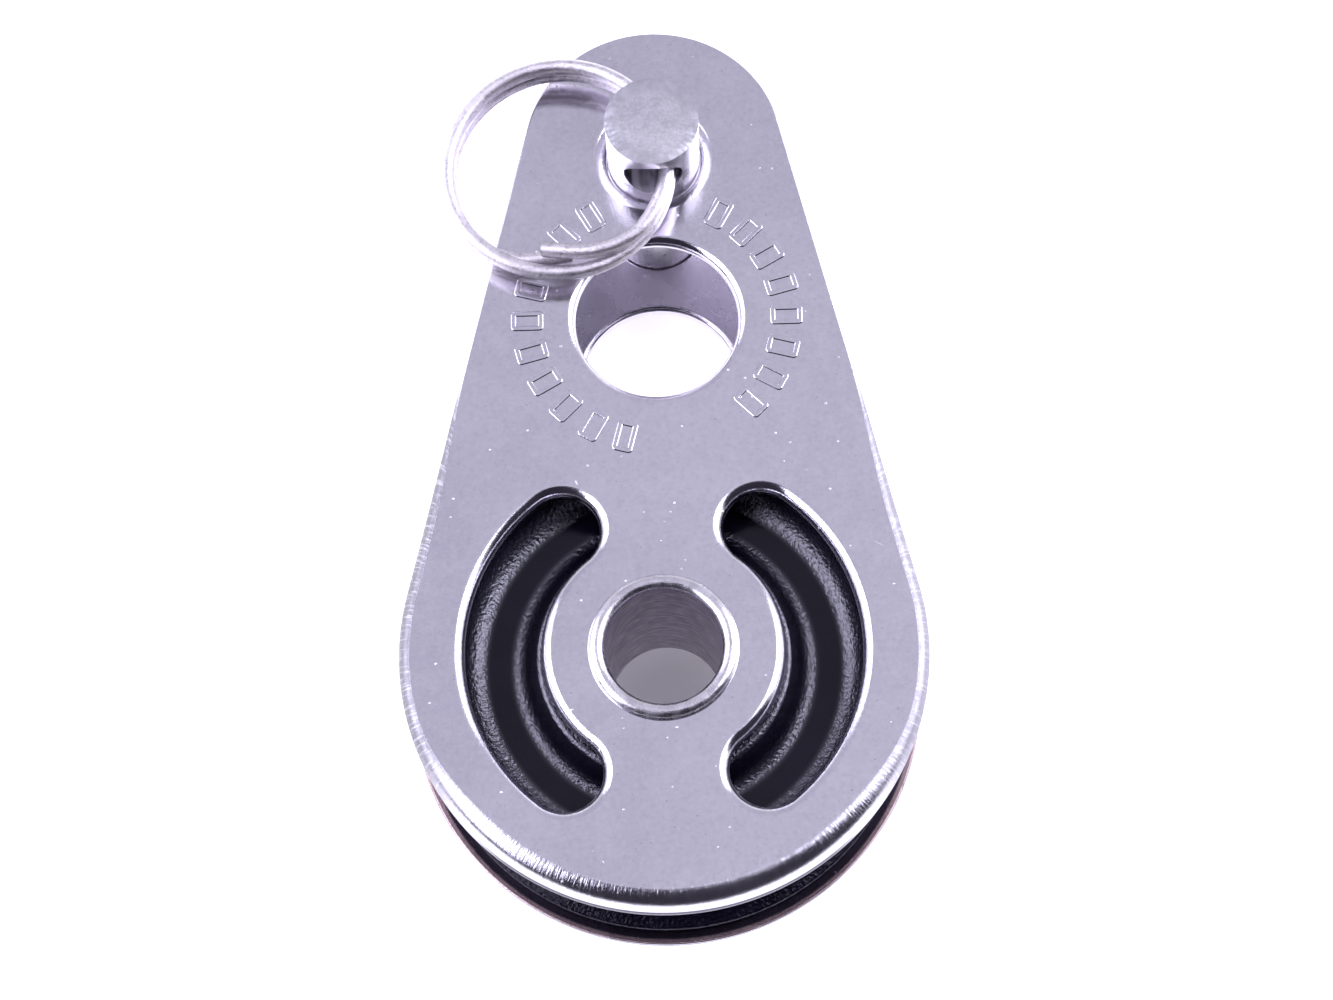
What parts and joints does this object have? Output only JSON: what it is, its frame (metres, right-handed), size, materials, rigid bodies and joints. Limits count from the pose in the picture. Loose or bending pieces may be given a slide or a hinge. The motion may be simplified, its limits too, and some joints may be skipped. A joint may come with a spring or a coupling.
{
  "type": "sheave block",
  "caption": "Flat lying rope block: grooved wheel on a hollow riveted axle between teardrop pressed steel cheeks, with a clevis pin and split ring.",
  "frame": {"origin": "centre of the hollow axle, midway between the cheeks", "axes": "+X across the block, +Y from the axle toward the clevis pin, +Z along the axle toward the free end of the clevis pin; the block lies flat"},
  "size_m": [0.0346, 0.0618, 0.0206],
  "materials": {
    "polished_sheet": "satin polished stainless sheet",
    "black_moulding": "fine textured moulding",
    "turned_steel": "turned and tumbled stainless",
    "drawn_wire": "drawn stainless spring wire"
  },
  "bodies": {
    "frame": {"front_cheek": "polished_sheet", "rear_cheek": "polished_sheet", "axle_rivet": "turned_steel", "bearing_bush": "turned_steel"},
    "wheel": {"sheave": "black_moulding"},
    "pin": {"clevis_pin": "turned_steel"},
    "ring": {"split_ring": "drawn_wire"}
  },
  "joints": [
    {"name": "sheave_spin", "type": "hinge", "parent": "frame", "child": "wheel", "pos_m": [0, 0, 0], "axis": [0, 0, 1], "continuous": true},
    {"name": "pin_turn", "type": "hinge", "parent": "frame", "child": "pin", "pos_m": [0, 0.0351, 0], "axis": [0, 0, 1], "continuous": true},
    {"name": "ring_swing", "type": "hinge", "parent": "pin", "child": "ring", "pos_m": [0.0001, 0.0351, 0.00942], "axis": [0, 1, 0], "range_deg": [0, 180]}
  ]
}
